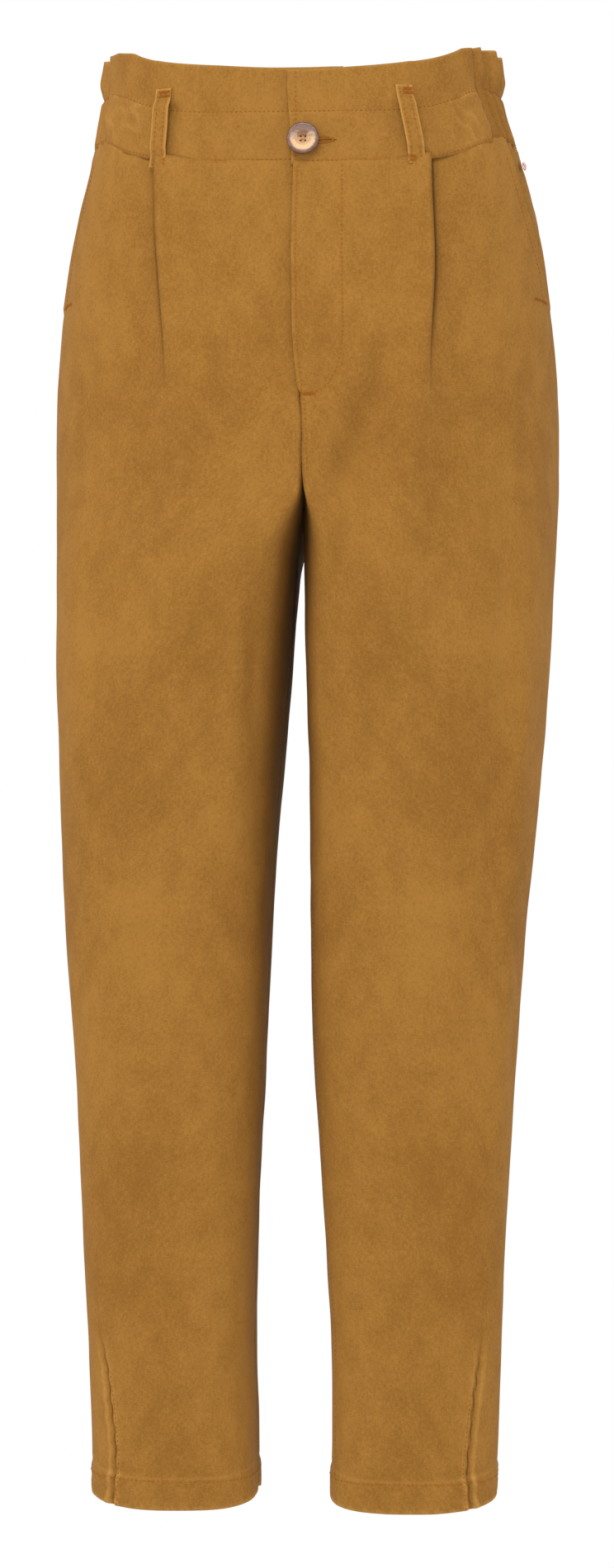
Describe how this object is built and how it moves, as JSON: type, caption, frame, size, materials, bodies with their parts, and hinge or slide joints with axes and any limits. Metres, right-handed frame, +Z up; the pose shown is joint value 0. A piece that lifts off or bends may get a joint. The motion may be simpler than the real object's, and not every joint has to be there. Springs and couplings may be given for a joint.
{
  "type": "trousers",
  "caption": "High-waisted pleated tapered cotton trousers with a gathered paper-bag waist, belt loops, buttoned zip fly and slanted side pockets.",
  "frame": {"origin": "middle of the waist opening, level with the top of the gathered back waistband", "axes": "+Z up along the hanging trousers, -Y to the front, +X to the wearer's left"},
  "size_m": [0.35, 0.2604, 1.006],
  "materials": {
    "twill": "garment-dyed ochre cotton twill, matte",
    "pocketing": "fine plain-weave cotton",
    "elastic": "ribbed woven elastic",
    "zip_tape": "woven tape, matte",
    "thread": "spun sewing thread",
    "zip_metal": "bright brass",
    "horn": "polished imitation horn",
    "rose_metal": "polished rose-gold plate"
  },
  "bodies": {
    "root": {"right_front_panel": "twill", "left_front_panel": "twill", "right_back_panel": "twill", "left_back_panel": "twill", "right_hip_facing": "twill", "left_hip_facing": "twill", "right_pocket_bag": "pocketing", "left_pocket_bag": "pocketing", "waistband_front_right": "twill", "waistband_front_left": "twill", "waistband_back": "twill", "band_facing_right": "twill", "band_facing_left": "twill", "band_facing_back": "twill", "back_elastic": "elastic", "belt_loop_right": "twill", "belt_loop_left": "twill", "belt_loop_back_right": "twill", "belt_loop_back_left": "twill", "belt_loop_back_centre": "twill", "fly_shield": "twill", "fly_edge_strip": "twill", "zip_tape_right": "zip_tape", "zip_teeth_right": "zip_metal", "zip_top_stop_right": "zip_metal", "zip_bottom_stop": "zip_metal", "button_shank": "thread", "metal_tag": "rose_metal"},
    "fly": {"fly_flap": "twill", "fly_facing": "twill", "waistband_overlap": "twill", "zip_tape_left": "zip_tape", "zip_teeth_left": "zip_metal", "zip_top_stop_left": "zip_metal"},
    "slider": {"zip_slider": "zip_metal"},
    "pull_tab": {"zip_pull_tab": "zip_metal"},
    "button_head": {"button": "horn", "button_thread": "thread"}
  },
  "joints": [
    {"name": "fly_open", "type": "hinge", "parent": "root", "child": "fly", "pos_m": [0.005, -0.118, -0.25], "axis": [0.1568, 0.1119, 0.9813], "range_deg": [0, 125], "deforming": ["waistband_overlap", "zip_teeth_left", "zip_tape_left"]},
    {"name": "zip_slide", "type": "slide", "parent": "root", "child": "slider", "axis": [0, -0.1133, -0.9936], "range_m": [0, 0.1], "deforming": ["zip_teeth_right", "zip_tape_right"]},
    {"name": "pull_tab_lift", "type": "hinge", "parent": "slider", "child": "pull_tab", "pos_m": [0.007, -0.09761, -0.1012], "axis": [-1, 0, 0], "range_deg": [0, 65]},
    {"name": "button_tilt", "type": "hinge", "parent": "root", "child": "button_head", "pos_m": [0.005, -0.10149, -0.07866], "axis": [1, 0, 0], "range_deg": [-10, 10]}
  ],
  "couplings": [
    {"joint": "zip_slide", "follows": "fly_open", "m_per_rad": 0.0455},
    {"joint": "pull_tab_lift", "follows": "fly_open", "ratio": 0.5}
  ]
}
